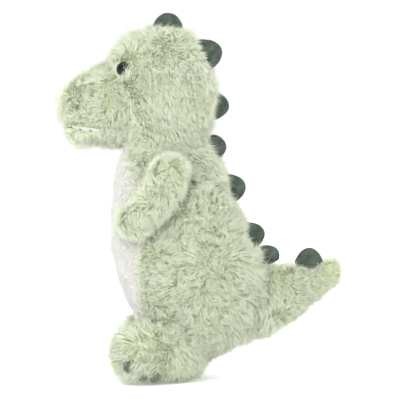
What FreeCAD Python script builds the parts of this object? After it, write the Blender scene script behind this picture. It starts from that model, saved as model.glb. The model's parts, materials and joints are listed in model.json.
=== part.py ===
import FreeCAD, Part
import math
import os

from FreeCAD import Matrix, Vector

# A stuffed dinosaur, about 300 mm tall, resting on its seat and two splayed feet.
# Millimetres. +Z is up, the nose points to -Y, the toy's left side is +X.
# The origin is on the floor, under the middle of the toy's box.

# ---- driving dimensions ----
NECK_Z = 190.0          # the seam plane between torso and head
MOUTH_Z = 208.5         # the seam between snout and jaw
FABRIC = 3.0            # a cover with its pile, pressed flat
VELOUR = 1.5            # short-pile fabric of spikes and claws
SEWN_GAP = 0.1          # between pieces of one body
JOINT_GAP = 0.5         # between pieces of different bodies
SPIKE_GAP = 2.0         # between a spike and a body that turns beside it
SEAT_SEAM_Z = 18.0      # the seat panel reaches up to here
SOLE_SEAM_Z = 5.0       # the soles reach up to here
CLEAR_STEPS = 3         # steps over a joint's travel that a part is cut clear for

# Torso: height, half width, half depth, middle along Y.
TORSO = [
    (0, 24, 19, -21), (7, 33, 23.5, -20), (16, 40, 27.5, -18.5), (25, 46, 36, -12.5), (36, 50, 45, -6), (50, 54, 50, -3),
    (66, 57, 57, -3.5), (85, 57, 61, -6), (105, 54, 61, -12), (122, 50, 57, -16.5), (147, 46, 51.5, -21.5),
    (167, 43, 47, -24), (180, 39, 42, -25), (190, 34, 35, -26),
]
BELLY_MIDDLE_Z = 116.0
BELLY_HALF = (46.5, 81.0)       # half width and half height of the white panel

# Head: height, half width, half depth, middle along Y.
HEAD = [
    (184, 30, 31, -27), (192, 36, 35, -27), (202, 41, 37, -27.5), (214, 45, 39.5, -26.5), (227, 47.5, 42.5, -27.5),
    (239, 47.5, 44.5, -29.5), (251, 45.5, 44.5, -32), (262, 42, 42.5, -34), (271, 36.5, 37.5, -35),
    (279, 29, 31.5, -33.5), (286, 20, 21.5, -31), (291.5, 9, 10, -31),
]

# Snout: place along Y, half width, half height, middle height.
SNOUT = [
    (-52, 31, 34, 222), (-62, 33, 35, 223), (-76, 34.5, 35.5, 223.5), (-90, 34, 33.5, 221.5),
    (-98, 32, 31.3, 220.3), (-106, 27, 25, 220.5), (-111, 20.5, 18, 222.5), (-115.5, 9.5, 8, 226),
]
TOOTH_RADIUS = 4.9
TOOTH_THICK = 1.3
TOOTH_Y = (-103.0, -94.5, -85.0)
EYE_RADIUS = 6.0
EYE_STEM = (2.2, 13.0)          # radius and length
WASHER = (8.0, 1.6)             # radius and thickness
EYE_AIM = Vector(0.80, -0.62, 0.25)
EYE_LINE_START = Vector(0, -34, 243)
NOSTRIL = (1.1, 0.9)            # thickness radius, and half length between its rounded ends
NOSTRIL_AIM = Vector(0.87, -0.48, 0.02)
NOSTRIL_LINE_START = Vector(0, -80, 223)

# Tail: place along Y, half width, half height, middle height.
TAIL = [
    (16, 33, 33, 65), (41, 31, 33, 64.5), (60, 27, 29.5, 67), (75, 22, 25, 70.5), (87, 18, 20.5, 75.5),
    (98, 14.5, 16, 81.5), (107, 12.5, 13.5, 86.5), (113, 9.5, 10.5, 88.5), (116.5, 5, 6, 89),
]
TAIL_PIVOT = Vector(0, 38, 62)
TAIL_SWING = 15.0

# Arms: a bent tube of one thickness, shoulder, elbow and paw, on the left side.
ARM = [Vector(54, -22, 171), Vector(54, -27, 157), Vector(53, -49.5, 132)]
ARM_RADIUS = 16.5
ARM_RAISE = 45.0

# Legs: hip and toes on the left side.
LEG = [Vector(30, -18, 25.0), Vector(55, -44.5, 24.5)]
LEG_RADII = (28.5, 27.5)
LEG_RAISE = 15.0
CLAW_RADII = (5.8, 8.0, 6.0)
CLAW_DEPTH = 5.5                    # from a claw's middle down to the foot's outside
CLAWS = {"inner": (22, 17.0), "middle": (50, 9.0), "outer": (80, 8.5)}      # turn and height
PELLET_BAG = (14.0, 13.0, 5.0)      # radius, height and edge round of the bag in each foot
PELLET_BAG_Z = 7.0

# Spikes: body, place along Y and height on the centre seam, tilt above +Y, half length, reach.
SPIKES = [
    ("head", -26, 284, 88, 12.6, 16), ("head", -1, 264, 18, 13.5, 20), ("head", 5, 224, 0, 12.3, 19),
    ("torso", 3, 190, 2, 11.5, 19), ("torso", 18, 155, 10, 13.0, 20), ("torso", 34, 115, 18, 12.5, 20),
    ("torso", 48, 94, 38, 12.0, 20), ("tail", 89.5, 88, 87, 12.5, 19.5),
]
SPIKE_HALF_THICK = 6.5

LABEL = (14.0, 22.0, 1.0)           # width, length and thickness of the folded ribbon
LABEL_AIM = Vector(-0.66, 0.72, -0.22)
LABEL_LINE_START = Vector(0, -6, 52)


def ellipsoid(middle, radii, inset=0.0):
    """A ball scaled to three radii, each smaller by inset."""
    scale = Matrix()
    scale.scale(*[radius - inset for radius in radii])
    ball = Part.makeSphere(1.0).transformGeometry(scale)
    ball.translate(Vector(*middle))
    return ball


def oval(middle, across, up, half_across, half_up, power=2.2):
    """A smooth closed wire round middle: an ellipse at power 2, squarer above it."""
    points = []
    for step in range(20):
        angle = 2 * math.pi * step / 20
        c, s = math.cos(angle), math.sin(angle)
        a = math.copysign(abs(c) ** (2 / power), c) * half_across
        b = math.copysign(abs(s) ** (2 / power), s) * half_up
        points.append(middle + across * a + up * b)
    curve = Part.BSplineCurve()
    curve.interpolate(points, PeriodicFlag=True)
    return Part.Wire(curve.toShape())


def along_z(stations, inset, lift_first, lower_last):
    """A solid through level sections, from its lowest to its highest."""
    wires = []
    last = len(stations) - 1
    for index, (z, half_width, half_depth, y) in enumerate(stations):
        shift = lift_first if index == 0 else (-lower_last if index == last else 0.0)
        wires.append(oval(Vector(0, y, z + shift), Vector(1, 0, 0), Vector(0, 1, 0),
                          half_width - inset, half_depth - inset))
    return Part.makeLoft(wires, True, False)


def torso_form(inset=0.0):
    """The pear-shaped torso. Its inner form runs out through the neck, which is open."""
    return along_z(TORSO, inset, inset, 0)


def along_y(stations, inset, root_extra, tip_inset):
    """A solid through upright sections along Y, from its root to its tip."""
    wires = []
    last = len(stations) - 1
    away = math.copysign(1.0, stations[last][0] - stations[0][0])
    for index, (y, half_width, half_height, z) in enumerate(stations):
        shift = -away * root_extra if index == 0 else (-away * tip_inset if index == last else 0.0)
        wires.append(oval(Vector(0, y + shift, z), Vector(1, 0, 0), Vector(0, 0, 1),
                          max(half_width - inset, 2.0), max(half_height - inset, 2.0)))
    return Part.makeLoft(wires, True, False)


def head_form(inset=0.0):
    """The head without its snout. Its inner form runs out through the neck, which is open."""
    return along_z(HEAD, inset, 0, inset)


def tube(points, radii):
    """Balls joined by straight round runs: a limb's outer form."""
    solid = Part.makeSphere(radii[0], points[0])
    for start, end, first, second in zip(points, points[1:], radii, radii[1:]):
        run = end - start
        if abs(first - second) < 1e-6:
            joined = Part.makeCylinder(first, run.Length, start, run)
        else:
            joined = Part.makeCone(first, second, run.Length, start, run)
        solid = solid.fuse([joined, Part.makeSphere(second, end)])
    return solid.removeSplitter()


def half_space(axis, side, limit):
    """A large box on one side of a plane across an axis: side +1 is above limit."""
    size = 900.0
    corner = [-size / 2] * 3
    corner["XYZ".index(axis)] = limit if side > 0 else limit - size
    return Part.makeBox(size, size, size, Vector(*corner))


def largest(shape):
    """The biggest solid of a cut shape."""
    return max(shape.Solids, key=lambda solid: solid.Volume)


def mirrored(shape):
    return shape.mirror(Vector(0, 0, 0), Vector(1, 0, 0))


def clear_of(shape, blocker, pivot, axis, travel):
    """shape without what the blocker would reach as shape turns about pivot over travel."""
    low, high = travel
    for step in range(CLEAR_STEPS + 1):
        turned = blocker.copy()
        turned.rotate(pivot, axis, -(low + (high - low) * step / CLEAR_STEPS))
        shape = shape.cut(turned)
    return largest(shape)


def surface_point(form, start, aim):
    """Where a line from inside a form along aim leaves it."""
    line = Part.makeLine(start, start + aim * 200)
    inside = form.common(line)
    return max((vertex.Point for vertex in inside.Vertexes), key=lambda p: (p - start).Length)


def turned_to(shape, aim):
    """A shape built about +Z, turned to point along aim."""
    shape.Placement = FreeCAD.Placement(Vector(0, 0, 0), FreeCAD.Rotation(Vector(0, 0, 1), aim))
    return shape


# ---- torso ----

def belly_prism(inset):
    """A prism along -Y over the white panel, smaller by inset all round."""
    ellipse = Part.Ellipse(Vector(0, 0, 0), BELLY_HALF[1] - inset, BELLY_HALF[0] - inset)
    prism = Part.Face(Part.Wire(ellipse.toShape())).extrude(Vector(0, 0, 200))
    prism.Placement = FreeCAD.Placement(
        Vector(0, -25, BELLY_MIDDLE_Z),
        FreeCAD.Rotation(Vector(0, 0, 1), Vector(1, 0, 0), Vector(0, -1, 0), "ZXY"))
    return prism


def torso_parts():
    outer = torso_form()
    shell = outer.cut(torso_form(FABRIC))
    opening = belly_prism(0.0)
    panel = belly_prism(SEWN_GAP)
    above_seat = half_space("Z", 1, SEAT_SEAM_Z + SEWN_GAP)
    sides = shell.cut(opening).common(above_seat)
    return {
        "torso_cover_left": largest(sides.common(half_space("X", 1, SEWN_GAP / 2))),
        "torso_cover_right": largest(sides.common(half_space("X", -1, -SEWN_GAP / 2))),
        "belly_panel": largest(shell.common(panel).common(above_seat)),
        "seat_panel": largest(shell.common(half_space("Z", -1, SEAT_SEAM_Z))),
        "torso_stuffing": torso_form(FABRIC + SEWN_GAP),
    }


# ---- head ----

def eye_parts(outer, snout):
    """A safety eye: a domed button with a stem, and the washer that locks it inside the cover."""
    seat = surface_point(outer, EYE_LINE_START, EYE_AIM)
    aim = Vector(EYE_AIM).normalize()
    dome = Part.makeSphere(EYE_RADIUS * 1.15, seat - aim * EYE_RADIUS * 0.35)
    button = dome.common(Part.makeCylinder(EYE_RADIUS, 3 * EYE_RADIUS, seat - aim * 3, aim))
    button = largest(button.cut(head_form(-SEWN_GAP)).cut(snout))
    stem_radius, stem_length = EYE_STEM
    stem = Part.makeCylinder(stem_radius, stem_length + EYE_RADIUS * 0.5, seat - aim * stem_length, aim)
    washer_radius, washer_thick = WASHER
    back = seat - aim * (FABRIC + 3.5)
    washer = Part.makeCylinder(washer_radius, washer_thick, back, aim)
    hole = Part.makeCylinder(stem_radius + SEWN_GAP, stem_length * 2, seat - aim * stem_length * 1.5, aim)
    room = Part.makeCylinder(washer_radius + SEWN_GAP, washer_thick + 2 * SEWN_GAP,
                             back - aim * SEWN_GAP, aim)
    return button.fuse(stem).removeSplitter(), washer.cut(hole), hole.fuse(room)


def nostril(snout):
    """A short upright bundle of embroidery thread on the snout."""
    radius, half_length = NOSTRIL
    aim = Vector(NOSTRIL_AIM).normalize()
    place = surface_point(snout, NOSTRIL_LINE_START, aim) + aim * (radius + 3 * SEWN_GAP)
    ends = [place - Vector(0, 0, half_length), place + Vector(0, 0, half_length)]
    return tube(ends, [radius, radius])


def teeth(snout):
    """Scalloped felt that hangs out of the mouth seam, three teeth on a narrow band."""
    layer = along_y(SNOUT, -TOOTH_THICK, 0, -TOOTH_THICK).cut(along_y(SNOUT, -SEWN_GAP, 0, -SEWN_GAP))
    middle = Vector(0, -76, MOUTH_Z)
    cutters = []
    for y in TOOTH_Y:
        start = Vector(0, y, MOUTH_Z - 1)
        edge = surface_point(snout, start, Vector(1, 0, 0))
        aim = edge - middle
        aim.z = 0
        aim.normalize()
        cutters.append(Part.makeCylinder(TOOTH_RADIUS, 30, edge - aim * 12, aim))
    band = Part.makeBox(60, TOOTH_Y[-1] - TOOTH_Y[0] + 8, 1.2, Vector(4, TOOTH_Y[0] - 4, MOUTH_Z - 1.2))
    scallops = cutters[0].fuse(cutters[1:] + [band])
    hanging = half_space("Z", -1, MOUTH_Z)
    return largest(layer.common(scallops).common(hanging).common(half_space("X", 1, 2)))


def head_parts():
    outer = head_form()
    snout = along_y(SNOUT, 0, 0, 0)
    inner_snout = along_y(SNOUT, FABRIC, 1, FABRIC)
    snout_room = along_y(SNOUT, -SEWN_GAP, SEWN_GAP, -SEWN_GAP)
    above_neck = half_space("Z", 1, NECK_Z + JOINT_GAP)
    button, washer, eye_room = eye_parts(outer, snout)
    eye_rooms = eye_room.fuse(mirrored(eye_room))
    shell = outer.cut(head_form(FABRIC)).cut(snout_room).common(above_neck).cut(eye_rooms)
    snout_shell = snout.cut(inner_snout).common(above_neck).cut(eye_rooms)
    stuffing = head_form(FABRIC + SEWN_GAP).cut(snout_room).common(above_neck).cut(eye_rooms)
    snout_stuffing = along_y(SNOUT, FABRIC + 2 * SEWN_GAP, 1, FABRIC + 2 * SEWN_GAP)
    snout_stuffing = snout_stuffing.common(half_space("Y", -1, SNOUT[0][0]))
    snout_stuffing = snout_stuffing.common(half_space("Z", 1, NECK_Z + JOINT_GAP + FABRIC)).cut(eye_rooms)
    felt = teeth(snout)
    thread = nostril(snout)
    return {
        "head_cover_left": largest(shell.common(half_space("X", 1, SEWN_GAP / 2))),
        "head_cover_right": largest(shell.common(half_space("X", -1, -SEWN_GAP / 2))),
        "snout_cover": largest(snout_shell.common(half_space("Z", 1, MOUTH_Z + SEWN_GAP / 2))),
        "jaw_cover": largest(snout_shell.common(half_space("Z", -1, MOUTH_Z - SEWN_GAP / 2))),
        "head_stuffing": largest(stuffing),
        "snout_stuffing": largest(snout_stuffing),
        "eye_left": button,
        "eye_right": mirrored(button),
        "eye_washer_left": washer,
        "eye_washer_right": mirrored(washer),
        "teeth_left": felt,
        "teeth_right": mirrored(felt),
        "nostril_left": thread,
        "nostril_right": mirrored(thread),
    }


# ---- limbs and tail ----

def arm_parts(blocked):
    outer = tube(ARM, [ARM_RADIUS] * 3)
    inner = tube(ARM, [ARM_RADIUS - FABRIC] * 3)
    stuffing = tube(ARM, [ARM_RADIUS - FABRIC - SEWN_GAP] * 3)
    middle_x = ARM[0].x
    raised = (0.0, ARM_RAISE)
    axis = Vector(-1, 0, 0)
    shell = clear_of(outer.cut(inner), blocked, ARM[0], axis, raised)
    return {
        "arm_cover_outer": largest(shell.common(half_space("X", 1, middle_x + SEWN_GAP / 2))),
        "arm_cover_inner": largest(shell.common(half_space("X", -1, middle_x - SEWN_GAP / 2))),
        "arm_stuffing": clear_of(stuffing, blocked, ARM[0], axis, raised),
    }


def claw(foot, turn, height):
    """One velour claw standing out of the toes, cut to lie on the foot."""
    toes = LEG[1]
    heading = math.atan2(toes.x - LEG[0].x, LEG[0].y - toes.y) + math.radians(turn)
    aim = Vector(math.sin(heading), -math.cos(heading), 0)
    drop = LEG[1].z - height
    out = math.sqrt(LEG_RADII[1] ** 2 - drop ** 2)
    body = ellipsoid((0, 0, 0), CLAW_RADII)
    body.rotate(Vector(0, 0, 0), Vector(0, 0, 1), math.degrees(heading))
    body.translate(toes + aim * (out - CLAW_DEPTH) + Vector(0, 0, -drop))
    return largest(body.cut(foot).common(half_space("Z", 1, 1.0)))


def pellet_bag(grown):
    """A small cloth pillow of pellets over the sole, under the toes."""
    radius, height, edge = PELLET_BAG
    place = Vector(LEG[1].x, LEG[1].y, PELLET_BAG_Z - grown)
    pillow = Part.makeCylinder(radius + grown, height + 2 * grown, place)
    round_edges = [e for e in pillow.Edges if isinstance(e.Curve, Part.Circle)]
    return pillow.makeFillet(edge, round_edges)


def leg_parts(blocked):
    above_floor = half_space("Z", 1, 0.0)
    axis = Vector(-1, 0, 0)
    raised = (0.0, LEG_RAISE)
    outer = tube(LEG, LEG_RADII).common(above_floor)
    inner = tube(LEG, [radius - FABRIC for radius in LEG_RADII])
    inside = inner.common(half_space("Z", 1, FABRIC))
    shell = clear_of(outer.cut(inside), blocked, LEG[0], axis, raised)
    stuffing = tube(LEG, [radius - FABRIC - SEWN_GAP for radius in LEG_RADII])
    stuffing = stuffing.common(half_space("Z", 1, FABRIC + SEWN_GAP))
    stuffing = clear_of(stuffing, blocked, LEG[0], axis, raised)
    parts = {
        "leg_cover": largest(shell.common(half_space("Z", 1, SOLE_SEAM_Z + SEWN_GAP))),
        "sole": largest(shell.common(half_space("Z", -1, SOLE_SEAM_Z))),
        "leg_stuffing": largest(stuffing.cut(pellet_bag(SEWN_GAP))),
        "pellet_bag": pellet_bag(0.0),
    }
    foot = tube(LEG, [radius + SEWN_GAP for radius in LEG_RADII])
    for name, (turn, height) in CLAWS.items():
        parts["claw_" + name] = claw(foot, turn, height)
    return parts


def tail_parts(blocked):
    swing = (-TAIL_SWING, TAIL_SWING)
    axis = Vector(0, 0, 1)
    shell = along_y(TAIL, 0, 0, 0).cut(along_y(TAIL, FABRIC, 1, FABRIC))
    shell = clear_of(shell, blocked, TAIL_PIVOT, axis, swing)
    stuffing = along_y(TAIL, FABRIC + SEWN_GAP, 0, FABRIC + SEWN_GAP)
    return {
        "tail_cover_left": largest(shell.common(half_space("X", 1, SEWN_GAP / 2))),
        "tail_cover_right": largest(shell.common(half_space("X", -1, -SEWN_GAP / 2))),
        "tail_stuffing": clear_of(stuffing, blocked, TAIL_PIVOT, axis, swing),
    }


# ---- spikes and label ----

def spike_parts(forms):
    """Rounded velour spikes along the centre seam, each a sewn cover round its filling."""
    parts = {}
    for number, (body, y, z, tilt, half_length, reach) in enumerate(SPIKES, 1):
        along = math.radians(tilt)
        radii = (SPIKE_HALF_THICK, half_length, reach)
        solids = []
        for inset in (0.0, VELOUR, VELOUR + SEWN_GAP):
            solid = ellipsoid((0, 0, 0), radii, inset)
            solid = turned_to(solid, Vector(0, math.cos(along), math.sin(along)))
            solid.translate(Vector(0, y, z))
            for other, (near, far) in forms.items():
                solid = solid.cut(near if other == body else far)
            solids.append(largest(solid))
        outer, inner, filling = solids
        parts["spike_%d_cover" % number] = largest(outer.cut(inner))
        parts["spike_%d_filling" % number] = filling
    return parts


def care_label(torso):
    """A blank folded ribbon sewn into the right side seam beside the tail."""
    place = surface_point(torso, LABEL_LINE_START, LABEL_AIM)
    width, length, thick = LABEL
    ribbon = Part.makeBox(width, thick, length, Vector(-width / 2, -thick / 2, -2))
    ribbon = turned_to(ribbon, Vector(LABEL_AIM).normalize())
    ribbon.translate(place)
    return largest(ribbon.cut(torso))


# ---- the toy ----

def near_and_far(form):
    """A form grown by the gap for its own spikes, and by the gap for another body's spikes."""
    return form(-SEWN_GAP), form(-SPIKE_GAP)


def tail_form(inset):
    return along_y(TAIL, inset, 0, inset)


def build():
    blocked = torso_form(-JOINT_GAP)
    nodes = torso_parts()
    nodes["care_label"] = care_label(torso_form(-SEWN_GAP))
    nodes.update(head_parts())
    for name, shape in list(arm_parts(blocked).items()) + list(leg_parts(blocked).items()):
        nodes[name + "_left"] = shape
        nodes[name + "_right"] = mirrored(shape)
    nodes.update(tail_parts(blocked))
    forms = {
        "head": near_and_far(head_form),
        "torso": near_and_far(torso_form),
        "tail": near_and_far(tail_form),
    }
    nodes.update(spike_parts(forms))
    return nodes


def main():
    os.makedirs("parts", exist_ok=True)
    for name, shape in sorted(build().items()):
        shape.exportStep("parts/%s.step" % name)
        print("%-22s %9.2f cm3  solids %d  valid %s" % (
            name, shape.Volume / 1000, len(shape.Solids), shape.isValid()))


if __name__ == "__main__":
    main()
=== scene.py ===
import json
import math

import bmesh
import bpy
import numpy as np
from mathutils import Matrix, Vector
from mathutils.bvhtree import BVHTree
from mathutils.kdtree import KDTree

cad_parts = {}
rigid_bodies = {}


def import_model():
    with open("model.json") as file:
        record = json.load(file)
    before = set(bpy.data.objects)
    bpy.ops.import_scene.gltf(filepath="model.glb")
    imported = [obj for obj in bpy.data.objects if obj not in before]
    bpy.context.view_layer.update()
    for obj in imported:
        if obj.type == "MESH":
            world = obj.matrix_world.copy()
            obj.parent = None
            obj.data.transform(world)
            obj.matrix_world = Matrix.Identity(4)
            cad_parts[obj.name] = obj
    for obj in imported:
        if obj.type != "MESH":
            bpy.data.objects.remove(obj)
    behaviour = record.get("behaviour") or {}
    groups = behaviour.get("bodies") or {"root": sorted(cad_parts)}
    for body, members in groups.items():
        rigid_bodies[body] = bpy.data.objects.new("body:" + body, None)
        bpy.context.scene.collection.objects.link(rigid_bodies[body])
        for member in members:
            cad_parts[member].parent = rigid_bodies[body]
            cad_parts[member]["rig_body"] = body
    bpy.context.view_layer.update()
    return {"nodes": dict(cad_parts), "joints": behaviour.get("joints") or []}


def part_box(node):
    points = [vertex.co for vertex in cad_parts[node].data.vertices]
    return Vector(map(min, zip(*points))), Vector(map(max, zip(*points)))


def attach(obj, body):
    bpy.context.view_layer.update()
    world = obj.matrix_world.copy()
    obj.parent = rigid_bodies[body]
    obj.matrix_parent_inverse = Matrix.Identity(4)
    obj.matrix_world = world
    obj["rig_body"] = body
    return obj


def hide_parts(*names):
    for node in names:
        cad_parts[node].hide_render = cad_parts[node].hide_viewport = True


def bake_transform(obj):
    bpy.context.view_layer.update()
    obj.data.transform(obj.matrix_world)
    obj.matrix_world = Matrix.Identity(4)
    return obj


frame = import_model()
NODES = frame["nodes"]
JOINTS = {j["name"]: np.array(j["pos_m"]) for j in frame["joints"]}
MM = 0.001

# ---- numbers that set the looks, in millimetres unless a comment says otherwise ----
PILE_DEPTH = 6.2            # from the knitted backing to the outside of the long pile
ARM_DEPTH = 5.4             # the same on the arms
TAIL_DEPTH = 6.0            # the same on the tail
BELLY_DEPTH = 2.8           # the same on the white panel
SEAM_PULL = 1.6             # how far a seam draws the backing in
LIMB_PULL = 0.3             # the same on the arms, legs and tail, where the pile hides it
SEAM_REACH = 3.0            # how wide the draw is
LUMPS = 0.9                 # unevenness of the stuffing
SWELL_CAP = 1.6             # most that the cloth simulation may move a point
SWELL_PRESSURE = 4.0        # of the filling, in the cloth simulation's units
SWELL_STEPS = 20            # frames that the simulation runs for
WALL_NEAR = 1.5             # a form's face this close to a CAD cover lies on it

STRAND_WIDTH = 0.32         # of the long pile, at the root
BELLY_WIDTH = 0.40          # of the white pile
PIECE_STRANDS = 18500       # most strands in one piece of pile
TONE_LEVELS = 8             # tones that strands come in
SHORTEST = 0.6              # lowest that a strand may hang over the floor
STRAY_SHARE = 0.20          # share of the strands that stand away from their tuft
NECK_LONGER = 0.25          # a strand's added length at the neck, as a share
TAIL_LONGER = 0.30          # the same on the tail
SPIKE_SHORTER = 0.46        # a strand's lost length round the spikes, as a share
UNDER_SHORTER = 0.22        # the same on the underside
SPIKE_CLEAR = 19.0          # how far round a spike the pile is shorter
LID_REACH = 16.5            # how far from an eye or claw the pile still lies over its edge
SEEDS = {"left": 4, "right": 5}     # added to a pile's seed, so that the two sides differ

TOOTH_Y = (-103.0, -94.5, -85.0)    # middles of the three scallops
TOOTH_RADIUS = 4.9          # of the scallops in the CAD
TOOTH_HALF = 4.7            # half the width of one tooth
TOOTH_DROP = 3.0            # how far the middle of a tooth hangs below the lip seam
TOOTH_BAND = 0.35           # how far the felt hangs between the teeth
TOOTH_INSET = 4.6           # how far the felt teeth sit behind the outside of the lips
MOUTH_MIDDLE = (0.0, -76.0, 0.0)    # the point that the lips curve round
MOUTH_SLOPE = 0.10          # how much the mouth drops toward its corners, per length
LIP_REACH = 5.0             # how far above the mouth the pile starts to hang over it

EYE_AIM = (0.80, -0.62, 0.25)       # the way the left eye faces
EYE_RADIUS = 6.0
EYE_SINK = 1.3              # how far the pile holds the eye in
EYE_LIFT = 1.2              # how far the pile under the eye pushes it up
# the dome's outline from its top to its back: radius and height, as shares of EYE_RADIUS
EYE_PROFILE = [(0.0, 0.0), (0.22, -0.02), (0.45, -0.09), (0.65, -0.20), (0.82, -0.35), (0.93, -0.50),
               (1.0, -0.68), (1.02, -0.78), (0.98, -0.86), (0.85, -0.90), (0.0, -0.92)]

CAMERA = (92.0, 3.0, 3500.0)        # azimuth and elevation in degrees, distance
TARGET = (0.0, 0.4, 146.7)          # the point that the camera looks at
VIEW_WIDTH = 328.0                  # what the view takes in at that distance
SENSOR = 36.0
LIGHTS_AIM = (0.0, 0.0, 150.0)
KEY_LIGHT = ((1.9, -0.35, 0.90), 1.0, 36.0)     # place and size in metres, power in watts
FILL_LIGHT = ((-1.6, 0.9, 1.3), 1.4, 14.0)
WORLD_STRENGTH = 1.02
FLOOR_GLOW = 0.34           # strength of the floor's own light, which keeps the shadow soft

UP = np.array([0.0, 0.0, 1.0])
ACROSS = np.array([1.0, 0.0, 0.0])


# ---- small helpers ----

def smoothstep(x):
    x = np.clip(x, 0.0, 1.0)
    return x * x * (3 - 2 * x)


def unit(v):
    return v / np.maximum(np.linalg.norm(v, axis=-1, keepdims=True), 1e-12)


def value_noise(points, size, seed):
    """Smooth noise from -1 to 1 at points, whose bumps are about size across."""
    table = np.random.default_rng(seed).random((32, 32, 32)) * 2 - 1
    q = points / size + 100.0
    cell = np.floor(q).astype(int)
    f = q - cell
    f = f * f * (3 - 2 * f)
    total = np.zeros(len(points))
    for dx in (0, 1):
        for dy in (0, 1):
            for dz in (0, 1):
                weight = np.abs(1 - dx - f[:, 0]) * np.abs(1 - dy - f[:, 1]) * np.abs(1 - dz - f[:, 2])
                index = (cell + (dx, dy, dz)) % 32
                total += weight * table[index[:, 0], index[:, 1], index[:, 2]]
    return total


def noise_vector(points, size, seed):
    """Three value noises side by side, for directions."""
    return np.stack([value_noise(points, size, seed + k) for k in range(3)], 1)


def coords(obj):
    co = np.zeros(len(obj.data.vertices) * 3, np.float32)
    obj.data.vertices.foreach_get("co", co)
    return co.reshape(-1, 3).astype(float)


def normals(obj):
    obj.data.update()
    n = np.zeros(len(obj.data.vertices) * 3, np.float32)
    obj.data.vertex_normals.foreach_get("vector", n)
    return n.reshape(-1, 3).astype(float)


def put_coords(obj, co):
    obj.data.vertices.foreach_set("co", co.astype(np.float32).ravel())
    obj.data.update()


def add_object(name, mesh):
    obj = bpy.data.objects.new(name, mesh)
    bpy.context.scene.collection.objects.link(obj)
    return obj


def only(obj):
    for other in bpy.context.selected_objects:
        other.select_set(False)
    obj.select_set(True)
    bpy.context.view_layer.objects.active = obj


def apply_modifiers(obj):
    only(obj)
    for modifier in list(obj.modifiers):
        bpy.ops.object.modifier_apply(modifier=modifier.name)


def add_modifier(obj, kind, **values):
    modifier = obj.modifiers.new(kind.title(), kind)
    for key, value in values.items():
        setattr(modifier, key, value)
    return modifier


def shade_smooth(obj):
    obj.data.polygons.foreach_set("use_smooth", [True] * len(obj.data.polygons))


def seen(obj, material):
    """Gives a piece its material."""
    obj.data.materials.clear()
    obj.data.materials.append(material)
    return obj


# ---- materials ----

def new_material(name):
    material = bpy.data.materials.new(name)
    material.use_nodes = True
    tree = material.node_tree
    return material, tree, tree.nodes["Principled BSDF"]


def node(tree, kind, inputs=None, **values):
    """A new shader node, with links or constants on its inputs."""
    made = tree.nodes.new(kind)
    for key, value in values.items():
        setattr(made, key, value)
    for key, value in (inputs or {}).items():
        if hasattr(value, "is_linked"):
            tree.links.new(value, made.inputs[key])
        else:
            made.inputs[key].default_value = value
    return made


def ramp(tree, factor, stops):
    """A colour ramp from (place, colour) stops."""
    made = node(tree, "ShaderNodeValToRGB", {"Fac": factor})
    elements = made.color_ramp.elements
    while len(elements) < len(stops):
        elements.new(0.5)
    for element, (place, colour) in zip(elements, stops):
        element.position = place
        element.color = (*colour, 1.0)
    return made.outputs["Color"]


def mixed(tree, factor, first, second):
    """The mix of two colours, which may be links or constants."""
    made = node(tree, "ShaderNodeMix", data_type="RGBA")
    for key, value in ((0, factor), (6, first), (7, second)):
        if hasattr(value, "is_linked"):
            tree.links.new(value, made.inputs[key])
        else:
            made.inputs[key].default_value = value if key == 0 else (*value, 1.0)
    return made.outputs[2]


def object_noise(tree, scale, detail=4.0, roughness=0.6):
    """Noise fixed to the object, scale being bumps per metre."""
    place = node(tree, "ShaderNodeTexCoord").outputs["Object"]
    made = node(tree, "ShaderNodeTexNoise",
                {"Vector": place, "Scale": scale, "Detail": detail, "Roughness": roughness})
    return made.outputs["Fac"]


def bumped(tree, shader, height, strength, distance):
    bump = node(tree, "ShaderNodeBump", {"Height": height, "Strength": strength, "Distance": distance})
    tree.links.new(bump.outputs["Normal"], shader.inputs["Normal"])


def fur_material(name, root, middle, tip, pale, spread, through):
    """Strands: colour runs from root to tip, darker toward the root as painted shade deep in the pile, and
    each strand's tone shifts it to darker or paler.
    """
    material, tree, shader = new_material(name)
    along = node(tree, "ShaderNodeAttribute", attribute_name="along").outputs["Fac"]
    tone = node(tree, "ShaderNodeAttribute", attribute_name="tone").outputs["Fac"]
    # painted shade: the ramp darkens the colour from tip to root, standing in for the shade deep in the
    # pile
    run = ramp(tree, along, [(0.0, root), (0.45, middle), (1.0, tip)])
    shifted = mixed(tree, tone, [c * (1 - spread) for c in middle], pale)
    colour = mixed(tree, 0.42, run, shifted)
    tree.links.new(colour, shader.inputs["Base Color"])
    rough = node(tree, "ShaderNodeMapRange", {"Value": along, "To Min": 0.85, "To Max": 0.55})
    tree.links.new(rough.outputs["Result"], shader.inputs["Roughness"])
    shader.inputs["Specular IOR Level"].default_value = 0.15
    shader.inputs["Sheen Weight"].default_value = 0.08
    shader.inputs["Sheen Roughness"].default_value = 0.4
    shader.inputs["Subsurface Weight"].default_value = through
    shader.inputs["Subsurface Radius"].default_value = (1.0, 1.0, 0.8)
    shader.inputs["Subsurface Scale"].default_value = 0.0012
    return material


def backing_material(name, dark, light, white):
    """The knitted ground under the pile: rows of small loops, flecked with fibre, white on the belly."""
    material, tree, shader = new_material(name)
    belly = node(tree, "ShaderNodeAttribute", attribute_name="white").outputs["Fac"]
    fleck = object_noise(tree, 900.0, 3.0)
    patch = object_noise(tree, 60.0, 5.0)
    wave = node(tree, "ShaderNodeTexWave", {"Scale": 420.0, "Distortion": 2.0, "Detail": 2.0},
                bands_direction="Z")
    base = ramp(tree, patch, [(0.3, dark), (0.7, light)])
    colour = mixed(tree, belly, mixed(tree, fleck, base, light), white)
    tree.links.new(colour, shader.inputs["Base Color"])
    shader.inputs["Roughness"].default_value = 0.95
    shader.inputs["Specular IOR Level"].default_value = 0.1
    bumped(tree, shader, wave.outputs["Fac"], 0.5, 0.0004)
    return material


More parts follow.
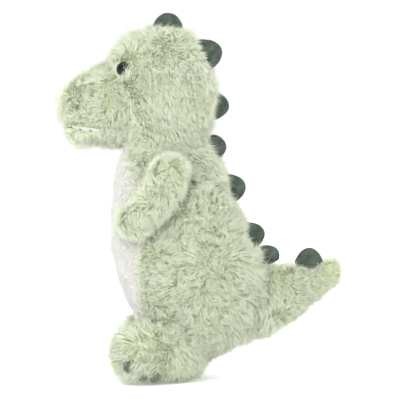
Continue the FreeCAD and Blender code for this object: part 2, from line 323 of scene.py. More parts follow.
def velour_material(name, dark, light):
    """Short dense pile, brushed into soft patches that lie different ways, with painted sheen: the patches
    are painted lighter and darker as if they caught the light differently.
    """
    material, tree, shader = new_material(name)
    patch = object_noise(tree, 150.0, 6.0, 0.65)
    nap = object_noise(tree, 1800.0, 3.0, 0.7)
    # painted sheen: lighter and darker patches in the colour stand for brushed pile catching the light
    # differently
    colour = mixed(tree, ramp(tree, nap, [(0.35, (0.25,) * 3), (0.7, (0.75,) * 3)]),
                   ramp(tree, patch, [(0.35, dark), (0.68, light)]),
                   ramp(tree, patch, [(0.3, [0.8 * c for c in dark]), (0.75, [1.25 * c for c in light])]))
    tree.links.new(colour, shader.inputs["Base Color"])
    shader.inputs["Roughness"].default_value = 0.85
    shader.inputs["Specular IOR Level"].default_value = 0.2
    shader.inputs["Sheen Weight"].default_value = 0.35
    shader.inputs["Sheen Roughness"].default_value = 0.35
    bumped(tree, shader, nap, 0.7, 0.0005)
    return material


def cloth_material(name, colour, scale, rough=0.9):
    """A plain woven or felted cloth: fine crossing threads over a soft variation."""
    material, tree, shader = new_material(name)
    fibre = object_noise(tree, scale, 5.0, 0.7)
    patch = object_noise(tree, scale / 12, 3.0)
    dark = [0.82 * c for c in colour]
    base = mixed(tree, ramp(tree, patch, [(0.3, (0.0,) * 3), (0.75, (1.0,) * 3)]), dark, colour)
    tree.links.new(mixed(tree, fibre, base, colour), shader.inputs["Base Color"])
    shader.inputs["Roughness"].default_value = rough
    shader.inputs["Sheen Weight"].default_value = 0.2
    bumped(tree, shader, fibre, 0.6, 0.0003)
    return material


def eye_material(centre, aim, radius):
    """Moulded eye: a black pupil, a brown ring and a dark rim under one glossy dome."""
    material, tree, shader = new_material("eye_plastic")
    place = node(tree, "ShaderNodeTexCoord").outputs["Object"]
    away = node(tree, "ShaderNodeVectorMath", {0: place, 1: tuple(centre)}, operation="SUBTRACT")
    across = node(tree, "ShaderNodeVectorMath", {0: away.outputs[0], 1: tuple(aim)},
                  operation="CROSS_PRODUCT")
    length = node(tree, "ShaderNodeVectorMath", {0: across.outputs[0]}, operation="LENGTH")
    ring = node(tree, "ShaderNodeMath", {0: length.outputs["Value"], 1: 1 / radius}, operation="MULTIPLY")
    streak = object_noise(tree, 1400.0, 3.0)
    brown = ramp(tree, streak, [(0.3, (0.018, 0.008, 0.005)), (0.75, (0.046, 0.020, 0.011))])
    black = (0.004, 0.004, 0.004)
    inside = ramp(tree, ring.outputs[0], [(0.74, (0.0,) * 3), (0.80, (1.0,) * 3)])
    rim = ramp(tree, ring.outputs[0], [(0.90, (0.0,) * 3), (0.95, (1.0,) * 3)])
    colour = mixed(tree, rim, mixed(tree, inside, black, brown), black)
    tree.links.new(colour, shader.inputs["Base Color"])
    shader.inputs["Roughness"].default_value = 0.16
    shader.inputs["Specular IOR Level"].default_value = 0.22
    return material


MATERIALS = {
    # painted shade in both piles: each root colour is darker than its tip colour, for the shade deep in the
    # pile
    "fur": fur_material("long_pile_green", root=(0.63, 0.72, 0.40), middle=(0.75, 0.82, 0.59),
                        tip=(0.80, 0.84, 0.69), pale=(0.84, 0.87, 0.76), spread=0.10, through=0.12),
    "white": fur_material("short_pile_white", root=(0.86, 0.85, 0.81), middle=(0.875, 0.87, 0.835),
                          tip=(0.89, 0.88, 0.85), pale=(0.885, 0.865, 0.83), spread=0.02, through=0.12),
    "backing": backing_material("pile_backing", (0.48, 0.545, 0.32), (0.58, 0.64, 0.42),
                                (0.88, 0.865, 0.82)),
    "velour": velour_material("velour_dark_green", (0.034, 0.047, 0.036), (0.074, 0.099, 0.076)),
    # painted light: the claws are the spikes' velour, made paler to stand for the light on their short pile
    "claw": velour_material("velour_claw_painted_light", (0.058, 0.080, 0.060), (0.120, 0.158, 0.122)),
    "felt": cloth_material("felt_white", (0.47, 0.48, 0.42), 1500.0),
    "thread": cloth_material("nostril_thread", (0.10, 0.085, 0.05), 2500.0, 0.7),
    "ribbon": cloth_material("label_ribbon", (0.84, 0.84, 0.82), 2200.0, 0.5),
}


# ---- the stuffed bodies under the pile ----

def ring_faces(rings, around):
    """Faces over rings of points and one closing point at each end, which come after the rings."""
    faces = []
    for i in range(rings - 1):
        for j in range(around):
            a, b = i * around + j, i * around + (j + 1) % around
            faces.append((a, a + around, b + around, b))
    first_end, last_end, last_ring = rings * around, rings * around + 1, (rings - 1) * around
    for j in range(around):
        faces.append((first_end, j, (j + 1) % around))
        faces.append((last_end, last_ring + (j + 1) % around, last_ring + j))
    return faces


def ball(centre, radius):
    """A closed ball's points and faces, to give a limb a root inside the torso."""
    points, rows, around = [], 12, 20
    for i in range(1, rows):
        polar = math.pi * i / rows
        out = math.sin(polar)
        for j in range(around):
            turn = 2 * math.pi * j / around
            points.append((out * math.cos(turn), out * math.sin(turn), math.cos(polar)))
    points += [(0, 0, 1), (0, 0, -1)]
    return np.array(points) * radius * MM + np.array(centre), ring_faces(rows - 1, around)


def gathered(name, nodes, balls):
    """One new mesh from copies of CAD nodes and balls."""
    points, faces, start = [], [], 0
    for n in nodes:
        mesh = NODES[n].data
        points.append(coords(NODES[n]))
        faces += [[start + v for v in polygon.vertices] for polygon in mesh.polygons]
        start += len(mesh.vertices)
    for centre, radius in balls:
        extra, extra_faces = ball(centre, radius)
        points.append(extra)
        faces += [[start + v for v in face] for face in extra_faces]
        start += len(extra)
    mesh = bpy.data.meshes.new(name)
    mesh.from_pydata(np.concatenate(points).tolist(), [], faces)
    return add_object(name, mesh)


def relax(obj, rounds, factor=0.5):
    """Smooths a mesh."""
    add_modifier(obj, "SMOOTH", iterations=rounds, factor=factor)
    apply_modifiers(obj)


def inflate(obj):
    """Swells the closed skin as stuffing does: cloth with pressure, and each point's movement capped."""
    before = coords(obj)
    cloth = add_modifier(obj, "CLOTH")
    cloth.settings.quality = 4
    cloth.settings.use_pressure = True
    cloth.settings.uniform_pressure_force = SWELL_PRESSURE
    cloth.settings.effector_weights.gravity = 0
    cloth.settings.tension_stiffness = 12
    cloth.settings.compression_stiffness = 8
    cloth.settings.bending_stiffness = 1.0
    cloth.collision_settings.use_collision = False
    cloth.point_cache.frame_start = 1
    cloth.point_cache.frame_end = SWELL_STEPS
    scene = bpy.context.scene
    for step in range(1, SWELL_STEPS + 1):
        scene.frame_set(step)
    evaluated = obj.evaluated_get(bpy.context.evaluated_depsgraph_get())
    after = coords(evaluated)
    obj.modifiers.clear()
    scene.frame_set(1)
    moved = after - before
    length = np.linalg.norm(moved, axis=1, keepdims=True)
    put_coords(obj, before + moved * np.minimum(1.0, SWELL_CAP * MM / np.maximum(length, 1e-9)))


def outer_walls(form, covers):
    """For each CAD cover, the faces of its body's whole form that lie on it."""
    whole = {c: BVHTree.FromPolygons([v.co for v in NODES[c].data.vertices],
                                     [list(f.vertices) for f in NODES[c].data.polygons]) for c in covers}
    faces = {c: [] for c in covers}
    for face in form.data.polygons:
        distance, cover = min((whole[c].find_nearest(face.center)[3], c) for c in covers)
        if distance < WALL_NEAR * MM:
            faces[cover].append(list(face.vertices))
    points = [v.co for v in form.data.vertices]
    return {c: BVHTree.FromPolygons(points, faces[c]) for c in covers}


class Skin:
    """A closed, stuffed skin under a body's pile, with what each point knows about its panels."""

    def __init__(self, name, covers, insides, balls, voxel, seed, depth=PILE_DEPTH, pull=SEAM_PULL,
                 thin=None):
        obj = gathered(name, covers + insides, balls)
        self.thin = thin or (lambda points: np.ones(len(points)))
        add_modifier(obj, "REMESH", mode="VOXEL", voxel_size=voxel * MM)
        apply_modifiers(obj)
        self.trees = outer_walls(obj, covers)
        self.obj, self.covers = obj, covers
        relax(obj, 4)
        self.learn()
        for _ in range(4):
            inward = (depth + SWELL_CAP * 0.5) * self.share() * self.thin(coords(obj)) / 4
            put_coords(obj, coords(obj) - normals(obj) * inward[:, None] * MM)
            relax(obj, 2)
        inflate(obj)
        relax(obj, 2)
        for _ in range(3):
            self.settle(depth)
        add_modifier(obj, "SUBSURF", levels=1)
        apply_modifiers(obj)
        self.learn()
        co, n = coords(obj), normals(obj)
        lump = value_noise(co, 0.022, seed) * LUMPS + value_noise(co, 0.009, seed + 7) * LUMPS * 0.35
        drawn = pull * np.exp(-(self.seam / (SEAM_REACH * MM)) ** 2)
        put_coords(obj, co + n * (lump - drawn)[:, None] * MM)
        shade_smooth(obj)
        obj.data.update()
        if "belly_panel" in covers:
            white = self.panel == covers.index("belly_panel")
            attribute = obj.data.attributes.new("white", "FLOAT", "POINT")
            attribute.data.foreach_set("value", white.astype(np.float32))

    def learn(self):
        """Finds each point's nearest panel, its depth under it, and how far along the cloth a seam is."""
        co = coords(self.obj)
        found = np.empty((len(co), len(self.covers)))
        touched = np.empty((len(co), len(self.covers), 3))
        for k, cover in enumerate(self.covers):
            tree = self.trees[cover]
            hits = [tree.find_nearest(p) for p in co.tolist()]
            found[:, k] = [hit[3] for hit in hits]
            touched[:, k] = [hit[0] for hit in hits]
        self.panel = found.argmin(1)
        self.facing = (unit(touched[np.arange(len(co)), self.panel] - co) * normals(self.obj)).sum(1)
        ordered = np.sort(found, 1)
        self.depth = ordered[:, 0]
        self.seam = np.full(len(co), 1.0)
        if len(self.covers) > 1:
            self.seam = np.sqrt(np.maximum(ordered[:, 1] ** 2 - ordered[:, 0] ** 2, 0))

    def share(self):
        """Less pile on the white panel, fading across its seam."""
        value = np.ones(len(self.panel))
        if "belly_panel" in self.covers:
            white = self.panel == self.covers.index("belly_panel")
            fade = smoothstep(self.seam / 0.006) * 0.5
            level = np.where(white, 0.5 + fade, 0.5 - fade)
            value = 1 + (BELLY_DEPTH / PILE_DEPTH - 1) * level
        return value

    def settle(self, depth):
        """Moves points that lie too deep or too shallow under the outside back to the pile's depth."""
        self.learn()
        error = self.depth - depth * MM * self.share() * self.thin(coords(self.obj))
        error *= smoothstep((14 * MM - self.depth) / (4 * MM)) * smoothstep((self.facing - 0.45) / 0.4)
        move = np.clip(error, -3 * MM, 3 * MM)
        put_coords(self.obj, coords(self.obj) + normals(self.obj) * move[:, None])
        relax(self.obj, 1, 0.3)


# ---- pile: every strand is a thin closed cone that bends once ----

STRAND_FACES = [(2, 1, 0), (0, 1, 4, 3), (1, 2, 5, 4), (2, 0, 3, 5), (3, 4, 6), (4, 5, 6), (5, 3, 6)]


def scattered(obj, per_mm2, seed, keep=None):
    """Random points on a mesh's triangles: place, normal, triangle corners and their weights."""
    obj.data.calc_loop_triangles()
    tris = np.zeros(len(obj.data.loop_triangles) * 3, np.int32)
    obj.data.loop_triangles.foreach_get("vertices", tris)
    tris = tris.reshape(-1, 3)
    co, n = coords(obj), normals(obj)
    if keep is not None:
        tris = tris[keep[tris[:, 0]]]
    a, b, c = co[tris[:, 0]], co[tris[:, 1]], co[tris[:, 2]]
    area = np.linalg.norm(np.cross(b - a, c - a), axis=1) / 2
    rng = np.random.default_rng(seed)
    count = int(area.sum() * 1e6 * per_mm2)
    # even spacing along the summed area keeps the pile free of bald spots
    edges = np.cumsum(area) / area.sum()
    pick = np.searchsorted(edges, (np.arange(count) + rng.random(count)) / count).clip(0, len(tris) - 1)
    u, v = rng.random(count), rng.random(count)
    flip = u + v > 1
    u[flip], v[flip] = 1 - u[flip], 1 - v[flip]
    weights = np.stack([1 - u - v, u, v], 1)
    corners = tris[pick]
    place = (co[corners] * weights[..., None]).sum(1)
    normal = unit((n[corners] * weights[..., None]).sum(1))
    return place, normal, corners, weights, rng


def strand_mesh(name, base, middle, tip, width, tone):
    """A mesh of bent cones from three points each, with its tone and root-to-tip run stored on it."""
    count = len(base)
    run = unit(tip - base)
    side = unit(np.cross(run, np.array([0.31, 0.17, 0.93])))
    other = np.cross(run, side)
    rings = []
    for centre, share in ((base, 1.0), (middle, 0.82)):
        for k in range(3):
            turn = 2 * math.pi * k / 3
            outward = side * math.cos(turn) + other * math.sin(turn)
            rings.append(centre + outward * (width * share / 2)[:, None])
    points = np.stack(rings + [tip], 1).reshape(-1, 3)
    sizes = [len(f) for f in STRAND_FACES]
    flat = np.concatenate([np.array(f) for f in STRAND_FACES])
    loops = (flat[None, :] + 7 * np.arange(count)[:, None]).ravel()
    starts = np.concatenate([[0], np.cumsum(sizes)[:-1]])
    starts = (starts[None, :] + len(flat) * np.arange(count)[:, None]).ravel()
    mesh = bpy.data.meshes.new(name)
    mesh.vertices.add(len(points))
    mesh.vertices.foreach_set("co", points.astype(np.float32).ravel())
    mesh.loops.add(len(loops))
    mesh.loops.foreach_set("vertex_index", loops.astype(np.int32))
    mesh.polygons.add(len(starts))
    mesh.polygons.foreach_set("loop_start", starts.astype(np.int32))
    mesh.polygons.foreach_set("use_smooth", [True] * len(starts))
    level = np.clip((tone * TONE_LEVELS).astype(int), 0, TONE_LEVELS - 1)
    level_at = np.repeat(level, 7)
    along_at = np.tile(np.array([0.0] * 3 + [0.5] * 3 + [1.0]), count)
    around_at = np.tile(np.array([0.1, 0.5, 0.9, 0.1, 0.5, 0.9, 0.5]), count)
    for key, value in (("tone", (level_at + 0.5) / TONE_LEVELS), ("along", along_at)):
        attribute = mesh.attributes.new(key, "FLOAT", "POINT")
        attribute.data.foreach_set("value", value.astype(np.float32))
    # strands of one tone share one strip of the map, root at its foot
    layer = mesh.uv_layers.new(name="OFBake")
    uv = np.stack([(level_at + 0.08 + 0.84 * around_at) / TONE_LEVELS, 0.02 + 0.96 * along_at], 1)[loops]
    layer.data.foreach_set("uv", uv.astype(np.float32).ravel())
    mesh.update(calc_edges=True)
    return mesh


def pile(skin, panels, per_mm2, length, seed, lean=(20.0, 58.0), flow=(0, 0.1, -0.4), swirl=1.0, clump=3.5,
         gather=0.22, width=STRAND_WIDTH, change=None, fuller=None, shorten_at_seam=0.3, sink=0.4):
    """Strands of pile on some of a skin's panels.

    lean is their angle off the cloth's normal at root and tip, flow the way they lie, swirl how far they
    stray from it, clump the size of a tuft and gather how far its tips draw together. change alters or
    drops strands, and fuller scales their length.
    """
    wanted = np.isin(skin.panel, [skin.covers.index(p) for p in panels])
    place, normal, corners, weights, rng = scattered(skin.obj, per_mm2, seed, wanted)
    seam = (skin.seam[corners] * weights).sum(1)
    count = len(place)
    # tufts: neighbours share a lean, a height and a tone, and their tips draw together
    tufts = max(8, int(count / (per_mm2 * clump * clump)))
    heads = rng.choice(count, tufts, replace=False)
    tree = KDTree(tufts)
    for k, h in enumerate(heads):
        tree.insert(place[h], k)
    tree.balance()
    tuft = np.array([tree.find(p)[1] for p in place.tolist()])
    near = heads[tuft]
    # the way the pile lies: a faint broad sweep, turned by soft swirls and tousled tuft by tuft
    drift = np.array(flow, float) + noise_vector(place, 0.026, seed + 11) * swirl * 1.2 \
        + noise_vector(place, 0.010, seed + 23) * swirl * 0.9 \
        + rng.normal(size=(tufts, 3))[tuft] * 0.28 * swirl + rng.normal(size=(count, 3)) * 0.26
    tangent = unit(drift - normal * (drift * normal).sum(1, keepdims=True))
    reach = length * MM * (0.80 + 0.36 * rng.random(count))
    reach = reach * (1 + 0.17 * value_noise(place, 0.011, seed + 31))
    reach *= (1 + 0.11 * rng.normal(size=tufts))[tuft]
    reach *= 1 - shorten_at_seam * np.exp(-(seam / 0.0030) ** 2)
    reach *= 0.45 + 0.55 * skin.thin(place)
    if fuller is not None:
        reach *= fuller(place)
    sway = 1 + 0.34 * value_noise(place, 0.008, seed + 41) + 0.18 * rng.normal(size=count)
    angle = np.radians(np.array(lean)) * sway[:, None]
    base = place - normal * sink * MM
    first = normal * np.cos(angle[:, :1]) + tangent * np.sin(angle[:, :1])
    second = normal * np.cos(angle[:, 1:]) + tangent * np.sin(angle[:, 1:])
    middle = base + first * (reach * 0.5)[:, None]
    tip = middle + second * (reach * 0.5)[:, None]
    pull = gather * (0.5 + 0.5 * rng.random(count))[:, None]
    tip += (tip[near] - tip) * pull
    middle += (middle[near] - middle) * pull * 0.3
    stray = rng.random(count) < STRAY_SHARE
    tip += unit(rng.normal(size=(count, 3))) * (reach * np.where(stray, 0.30, 0.10))[:, None]
    tone = 0.5 + 0.22 * value_noise(place, 0.014, seed + 51) + 0.13 * rng.normal(size=tufts)[tuft] \
        + 0.20 * rng.normal(size=count)
    keep = np.ones(count, bool)
    if change is not None:
        base, middle, tip, keep = change(base, middle, tip, normal)
    middle[:, 2] = np.maximum(middle[:, 2], SHORTEST * MM)
    tip[:, 2] = np.maximum(tip[:, 2], SHORTEST * MM)
    wide = width * MM * (0.8 + 0.4 * rng.random(count))
    return base[keep], middle[keep], tip[keep], wide[keep], np.clip(tone[keep], 0, 0.999)


def settle(obj, body, bend=None):
    """Puts a piece on its body, or, when a bend is given, bakes its place into its mesh and leaves it
    unattached.
    """
    if bend is None:
        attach(obj, body)
    else:
        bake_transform(obj)


def trimmed_round(spots):
    """A change for pile() that keeps strands off round spots: (centre, radius in mm)."""
    def change(base, middle, tip, normal):
        keep = np.ones(len(base), bool)
        for centre, radius in spots:
            for points in (base, middle, tip):
                keep &= np.linalg.norm(points - np.array(centre), axis=1) > radius * MM
        return base, middle, tip, keep
    return change


def drawn_over(spots):
    """A change for pile() that lays strands over one edge of each spot.

    A spot is its centre, the way it faces, the way the strands lie across it, and how high and how far.
    """
    def change(base, middle, tip, normal):
        for centre, outward, across, high, far in spots:
            away = base - centre
            share = smoothstep((LID_REACH * MM - np.linalg.norm(away, axis=1)) / 0.004)
            share = (share * smoothstep(-(away @ across) / 0.002))[:, None]
            laid_middle = base + (middle - base) * 0.5 + outward * high * 0.55 * MM
            laid_tip = base + (tip - base) * 0.35 + (outward * high + across * far) * MM
            middle += (laid_middle - middle) * share
            tip += (laid_tip - tip) * share
        return base, middle, tip, np.ones(len(base), bool)
    return change


def middle_of(name):
    """The middle of a CAD node's box."""
    low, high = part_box(name)
    return np.array((low + high) / 2)


def eye_place(side):
    """The way an eye faces and the top of its dome, sunk a little into the pile."""
    seat = middle_of("eye_washer_" + side)
    aim = unit(np.array(EYE_AIM) * (np.sign(seat[0]), 1, 1))
    far = (coords(NODES["eye_" + side]) @ aim).max()
    return aim, seat + aim * (far - seat @ aim - EYE_SINK * MM) + (0, 0, EYE_LIFT * MM)


# ---- where each body has its root, its bend and its bare spots, in metres ----

neck = JOINTS["head_turn"]
tail_root = JOINTS["tail_swing"]
bends = {"head": (neck + (0, 0, -0.008), neck + (0, 0, 0.010)),
         "tail": (tail_root + (0, 0.002, 0), tail_root + (0, 0.036, 0.004))}
roots = {"head": [(neck, 33.0)],
         "torso": [(neck + (0, 0, -0.004), 34.0)],
         "tail": [(tail_root, 27.0), (tail_root + (0, 0.012, 0.001), 28.5)]}
eye_spots, eye_lids, claw_spots, claw_lids = [], [], {}, {}
for side, sign in (("left", 1), ("right", -1)):
    shoulder, hip = JOINTS["arm_%s_raise" % side], JOINTS["leg_%s_raise" % side]
    inward = np.array([-0.012 * sign, 0, -0.002])
    roots["arm_" + side] = [(shoulder, 16.0), (shoulder + inward, 15.0)]
    bends["arm_" + side] = (shoulder + (0, 0.004, 0.008), shoulder + (0, -0.002, -0.014))
    along_foot = unit((middle_of("claw_middle_" + side) - hip) * (1, 1, 0))
    roots["leg_" + side] = [(hip, 27.0)]
    bends["leg_" + side] = (hip - along_foot * 0.006, hip + along_foot * 0.020)
    claw_spots[side] = [(middle_of("claw_inner_" + side), 3.8)]
    claw_lids[side] = [(middle_of("claw_%s_%s" % (claw, side)), along_foot, -UP, 8.0, 3.6)
                       for claw in ("middle", "outer")]
    aim, top = eye_place(side)
    eye_spots += [(middle_of("eye_" + side), 4.0), (top + (0, 0.0010, 0.0018), 3.7)]
    eye_lids.append((top - aim * 0.003, aim, unit(np.array([0, 0.35, 1.0])), 8.5, 5.5))


# ---- the skins ----

def tail_thin(points):
    """The tail's pile thins toward its tip."""
    return 1 - 0.62 * smoothstep((points[:, 1] - 0.084) / 0.026)


torso_covers = ["torso_cover_left", "torso_cover_right", "belly_panel", "seat_panel"]
head_covers = ["head_cover_left", "head_cover_right", "snout_cover", "jaw_cover"]
tail_covers = ["tail_cover_left", "tail_cover_right"]
skins = {"torso": Skin("torso_skin", torso_covers, ["torso_stuffing"], roots["torso"], voxel=3.6, seed=3),
         "head": Skin("head_skin", head_covers, ["head_stuffing", "snout_stuffing"], roots["head"],
                      voxel=3.0, seed=5),
         "tail": Skin("tail_skin", tail_covers, ["tail_stuffing"], roots["tail"], voxel=2.8, seed=7,
                      depth=TAIL_DEPTH, pull=LIMB_PULL, thin=tail_thin)}
for side in ("left", "right"):
    body = "arm_" + side
    arm_covers = ["arm_cover_outer_" + side, "arm_cover_inner_" + side]
    skins[body] = Skin("arm_skin_" + side, arm_covers, ["arm_stuffing_" + side], roots[body],
                       voxel=2.2, seed=9, depth=ARM_DEPTH, pull=LIMB_PULL)
    body = "leg_" + side
    leg_covers = ["leg_cover_" + side, "sole_" + side]
    leg_insides = ["leg_stuffing_" + side, "pellet_bag_" + side]
    skins[body] = Skin("leg_skin_" + side, leg_covers, leg_insides, roots[body],
                       voxel=2.8, seed=11, pull=LIMB_PULL)
for body, skin in skins.items():
    seen(skin.obj, MATERIALS["backing"])
    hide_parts(*[n for n in NODES if NODES[n]["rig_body"] == body
                            and (n.startswith("eye_washer")
                                 or not n.startswith(("spike", "claw", "eye", "teeth", "nostril",
                                                      "care", "belly")))])
    settle(skin.obj, body, bends.get(body))


# ---- the pile on the skins ----

def grow(body, name, panels, material="fur", slot="long_pile_green", axis=2, **values):
    """Grows pile and cuts it across an axis into pieces of a size the library can hold."""
    base, middle, tip, wide, tone = pile(skins[body], panels, **values)
    pieces = math.ceil(len(base) / PIECE_STRANDS)
    made = []
    for number, part in enumerate(np.array_split(np.argsort(base[:, axis]), pieces), 1):
        piece = name if pieces == 1 else "%s_%d" % (name, number)
        mesh = strand_mesh(piece, base[part], middle[part], tip[part], wide[part], tone[part])
        obj = seen(add_object(piece, mesh), MATERIALS[material])
        settle(obj, body, bends.get(body))
        made.append(obj)
    return made


def fuller(place):
    """Longer pile where the head and the tail meet the torso, shorter at the spikes and under the toy."""
    at_neck = np.exp(-((place[:, 2] - neck[2]) / 0.010) ** 2)
    at_tail = np.exp(-((place[:, 1] - tail_root[1] - 0.002) / 0.011) ** 2) * (place[:, 2] < 0.105)
    at_spike = np.zeros(len(place))
    for number in range(1, 9):
        away = np.linalg.norm(place - middle_of("spike_%d_cover" % number), axis=1)
        at_spike = np.maximum(at_spike, smoothstep((SPIKE_CLEAR * MM - away) / 0.008))
    under = smoothstep((0.034 - place[:, 2]) / 0.02)
    longer = NECK_LONGER * at_neck + TAIL_LONGER * at_tail
    return 1 + longer - SPIKE_SHORTER * at_spike - UNDER_SHORTER * under


def mouth_line(points):
    """The height of the mouth seam, which drops a little toward its corners."""
    return mouth_top - MOUTH_SLOPE * np.maximum(points[:, 1] - mouth[0][1], 0)


def at_teeth(points):
    """1 over the length of the teeth, fading out past their back end."""
    return smoothstep((mouth[1][1] + 0.002 - points[:, 1]) / 0.004)


def hanging_lip(base, middle, tip, normal):
    """The pile just over the mouth hangs down over the tops of the teeth."""
    line = mouth_line(base)
    low = smoothstep((LIP_REACH * MM - (base[:, 2] - line)) / (LIP_REACH * MM * 0.6)) * at_teeth(base)
    drop = line - 0.0002 - 0.0014 * np.random.default_rng(5).random(len(base))
    tip[:, 2] += (np.minimum(tip[:, 2], drop) - tip[:, 2]) * low
    middle[:, 2] += (np.minimum(middle[:, 2], line + 0.0010) - middle[:, 2]) * low
    return round_eyes(base, middle, tip, normal)


def jaw_room(base, middle, tip, normal):
    """Presses the jaw's pile down, so that it starts under the feet of the teeth."""
    over = np.max([points[:, 2] - mouth_line(points) for points in (base, middle, tip)], 0)
    down = np.maximum(over + tooth_height - 0.0008, 0) * at_teeth(base)
    for points in (base, middle, tip):
        points[:, 2] -= down
    return base, middle, tip, np.ones(len(base), bool)


def round_eyes(base, middle, tip, normal):
    """Lays pile over the lower edge of each eye and keeps the rest of the eye clear."""
    laid = drawn_over(eye_lids)(base, middle, tip, normal)[:3]
    return trimmed_round(eye_spots)(*laid, normal)


def round_claws(side):
    """Lays pile over the tops of the two outer claws and keeps it off the inner one."""
    def change(base, middle, tip, normal):
        laid = drawn_over(claw_lids[side])(base, middle, tip, normal)[:3]
        return trimmed_round(claw_spots[side])(*laid, normal)
    return change


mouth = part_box("teeth_left")
mouth_top = mouth[1][2]
tooth_height = TOOTH_DROP * MM
for side in ("left", "right"):
    grow("torso", "torso_pile_" + side, ["torso_cover_" + side], per_mm2=1.5, length=12.0,
         seed=101 + SEEDS[side], fuller=fuller, shorten_at_seam=-0.1)
    grow("head", "head_pile_" + side, ["head_cover_" + side], per_mm2=1.6, length=11.0,
         seed=111 + SEEDS[side], fuller=fuller, change=round_eyes)
    grow("tail", "tail_pile_" + side, ["tail_cover_" + side], per_mm2=1.5, length=11.0,
         seed=121 + SEEDS[side], flow=(0, 0.1, -0.5), axis=1, fuller=fuller)
    grow("arm_" + side, "arm_pile_" + side, ["arm_cover_outer_" + side, "arm_cover_inner_" + side],
         per_mm2=1.9, length=10.5, seed=131 + SEEDS[side], flow=(0, -0.3, -0.7), shorten_at_seam=0.1)
    grow("leg_" + side, "leg_pile_" + side, ["leg_cover_" + side, "sole_" + side], per_mm2=1.5, length=10.5,
         seed=141 + SEEDS[side], flow=(0, -0.3, -0.6), shorten_at_seam=0.1, change=round_claws(side))
grow("torso", "seat_pile", ["seat_panel"], per_mm2=0.7, length=9.0, seed=103)
grow("head", "snout_pile", ["snout_cover"], per_mm2=1.7, length=9.5, seed=113, flow=(0, 0.3, -0.6),
     shorten_at_seam=0.1, change=hanging_lip)
grow("head", "jaw_pile", ["jaw_cover"], per_mm2=1.8, length=10.0, seed=114, flow=(0, 0.2, -0.3), swirl=1.3,
     change=jaw_room)
white = grow("torso", "belly_pile", ["belly_panel"], per_mm2=2.2, length=4.4, lean=(36.0, 66.0), swirl=0.35,
             clump=3.0, gather=0.04, seed=104, width=BELLY_WIDTH, material="white", slot="short_pile_white",
             shorten_at_seam=0.0)
for piece in white:
    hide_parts("belly_panel")


# ---- velour spikes and claws ----

def velour_piece(node_name, filling, body, voxel, groove, material="velour", swell=0.8):
    """A small stuffed velour piece, with the seam that joins its two halves drawn in round its middle."""
    root, steps = 8.0, 6
    obj = gathered(node_name + "_velour", [node_name] + filling, ())
    # the same form swept into the body gives it a root under the pile
    skin = skins[body].obj
    outward = skin.closest_point_on_mesh(Vector(middle_of(node_name)))[2]
    whole = bmesh.new()
    whole.from_mesh(obj.data)
    for _ in range(steps):
        obj.data.transform(Matrix.Translation(-outward * root * MM / steps))
        whole.from_mesh(obj.data)
    whole.to_mesh(obj.data)
    whole.free()
    add_modifier(obj, "REMESH", mode="VOXEL", voxel_size=voxel * MM)
    apply_modifiers(obj)
    relax(obj, 4)
    add_modifier(obj, "SUBSURF", levels=1)
    apply_modifiers(obj)
    co, n = coords(obj), normals(obj)
    centre = middle_of(node_name)
    seam = np.exp(-((co - centre) @ groove / (0.8 * MM)) ** 2)
    lump = value_noise(co, 0.006, 71) * 0.25 + value_noise(co, 0.0016, 73) * 0.10
    put_coords(obj, co + n * (swell + lump - 0.7 * seam)[:, None] * MM)
    shade_smooth(obj)
    seen(obj, MATERIALS[material])
    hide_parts(node_name, *filling)
    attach(obj, body)


for number in range(1, 9):
    cover, filling = "spike_%d_cover" % number, "spike_%d_filling" % number
    velour_piece(cover, [filling], NODES[cover]["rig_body"], 1.1, ACROSS)
for side in ("left", "right"):
    for claw in ("inner", "middle", "outer"):
        name = "claw_%s_%s" % (claw, side)
        velour_piece(name, [], "leg_" + side, 0.8, UP, "claw", swell=0.3 if claw == "inner" else -0.6)


# ---- eyes, teeth, nostrils and label ----

def eye(side):
    """A domed safety eye, turned on its own axis."""
    name = "eye_" + side
    aim, top = eye_place(side)
    radius = EYE_RADIUS * MM
    across = unit(np.cross(aim, UP))
    up = np.cross(across, aim)
    around = 48
    points = []
    for r, h in EYE_PROFILE[1:-1]:
        for j in range(around):
            turn = 2 * math.pi * j / around
            outward = across * math.cos(turn) + up * math.sin(turn)
            points.append(top + outward * r * radius + aim * h * radius)
    points += [top + aim * EYE_PROFILE[end][1] * radius for end in (0, -1)]
    mesh = bpy.data.meshes.new("eye_dome_" + side)
    mesh.from_pydata([tuple(p) for p in points], [], ring_faces(len(EYE_PROFILE) - 2, around))
    obj = add_object("eye_dome_" + side, mesh)
    add_modifier(obj, "SUBSURF", levels=1)
    apply_modifiers(obj)
    shade_smooth(obj)
    seen(obj, eye_material(top, aim, radius))
    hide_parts(name)
    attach(obj, "head")


def felt_teeth(side):
    """The scalloped felt strip, a little behind the lip's pile, with soft worn edges."""
    name = "teeth_" + side
    obj = gathered("felt_" + name, [name], ())
    co = coords(obj)
    # each scallop runs to a point at its ends, so that the teeth read as three crescents
    feet = np.array([co[np.abs(co[:, 1] - y * MM).argmin(), :2] for y in TOOTH_Y])
    across = np.linalg.norm(co[:, None, :2] - feet[None], axis=2).min(1) / (TOOTH_HALF * MM)
    round_edge = np.sqrt(np.maximum(TOOTH_RADIUS ** 2 - (across * TOOTH_HALF) ** 2, 1.0))
    crescent = TOOTH_BAND + TOOTH_DROP * np.maximum(1 - across ** 2, 0) ** 0.7
    co[:, 2] = mouth_line(co) + (co[:, 2] - mouth_top) * crescent / round_edge
    away = co - np.array(MOUTH_MIDDLE) * MM
    away[:, 2] = 0
    co -= unit(away) * TOOTH_INSET * MM
    put_coords(obj, co)
    add_modifier(obj, "REMESH", mode="VOXEL", voxel_size=0.35 * MM)
    apply_modifiers(obj)
    relax(obj, 3)
    co = coords(obj)
    put_coords(obj, co + normals(obj) * (0.12 + 0.12 * value_noise(co, 0.0015, 91))[:, None] * MM)
    shade_smooth(obj)
    seen(obj, MATERIALS["felt"])
    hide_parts(name)
    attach(obj, "head")


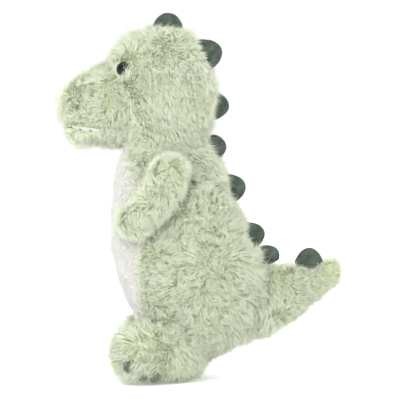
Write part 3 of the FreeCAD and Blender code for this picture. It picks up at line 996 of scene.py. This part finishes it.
def finished(name, material):
    """Gives a CAD node that stays in view its material."""
    NODES[name].data.materials.clear()
    NODES[name].data.materials.append(MATERIALS[material])


for side in ("left", "right"):
    eye(side)
    felt_teeth(side)
    finished("nostril_" + side, "thread")
finished("care_label", "ribbon")


# ---- floor, light and camera ----

def floor():
    """A plain pale floor."""
    material, tree, shader = new_material("pale_floor")
    patch = object_noise(tree, 3.0, 2.0)
    tree.links.new(ramp(tree, patch, [(0.0, (0.93,) * 3), (1.0, (0.95,) * 3)]), shader.inputs["Base Color"])
    shader.inputs["Roughness"].default_value = 0.9
    shader.inputs["Emission Color"].default_value = (1.0, 1.0, 1.0, 1.0)
    shader.inputs["Emission Strength"].default_value = FLOOR_GLOW
    mesh = bpy.data.meshes.new("floor")
    mesh.from_pydata([(-4, -4, 0), (4, -4, 0), (4, 4, 0), (-4, 4, 0)], [], [(0, 1, 2, 3)])
    obj = add_object("floor", mesh)
    obj.data.materials.append(material)


def area_light(name, place, size, power):
    """A square light that faces the toy's middle."""
    data = bpy.data.lights.new(name, "AREA")
    data.size = size
    data.energy = power
    obj = bpy.data.objects.new(name, data)
    bpy.context.scene.collection.objects.link(obj)
    obj.location = place
    obj.rotation_euler = (Vector(LIGHTS_AIM) * MM - Vector(place)).to_track_quat("-Z", "Y").to_euler()


def light_and_camera():
    """Lights the toy from all round and places the camera that matches the photograph."""
    scene = bpy.context.scene
    world = bpy.data.worlds.new("studio")
    world.use_nodes = True
    world.node_tree.nodes["Background"].inputs["Color"].default_value = (1.0, 1.0, 1.0, 1.0)
    world.node_tree.nodes["Background"].inputs["Strength"].default_value = WORLD_STRENGTH
    scene.world = world
    area_light("key", *KEY_LIGHT)
    area_light("fill", *FILL_LIGHT)
    azimuth, elevation, distance = math.radians(CAMERA[0]), math.radians(CAMERA[1]), CAMERA[2] * MM
    target = Vector(TARGET) * MM
    back = Vector((math.sin(azimuth) * math.cos(elevation), -math.cos(azimuth) * math.cos(elevation),
                   math.sin(elevation)))
    data = bpy.data.cameras.new("camera")
    data.sensor_width = SENSOR
    data.lens = SENSOR * CAMERA[2] / VIEW_WIDTH
    camera = bpy.data.objects.new("camera", data)
    scene.collection.objects.link(camera)
    camera.location = target + back * distance
    camera.rotation_euler = (-back).to_track_quat("-Z", "Y").to_euler()
    scene.camera = camera
    scene.view_settings.view_transform = "Standard"


floor()
light_and_camera()
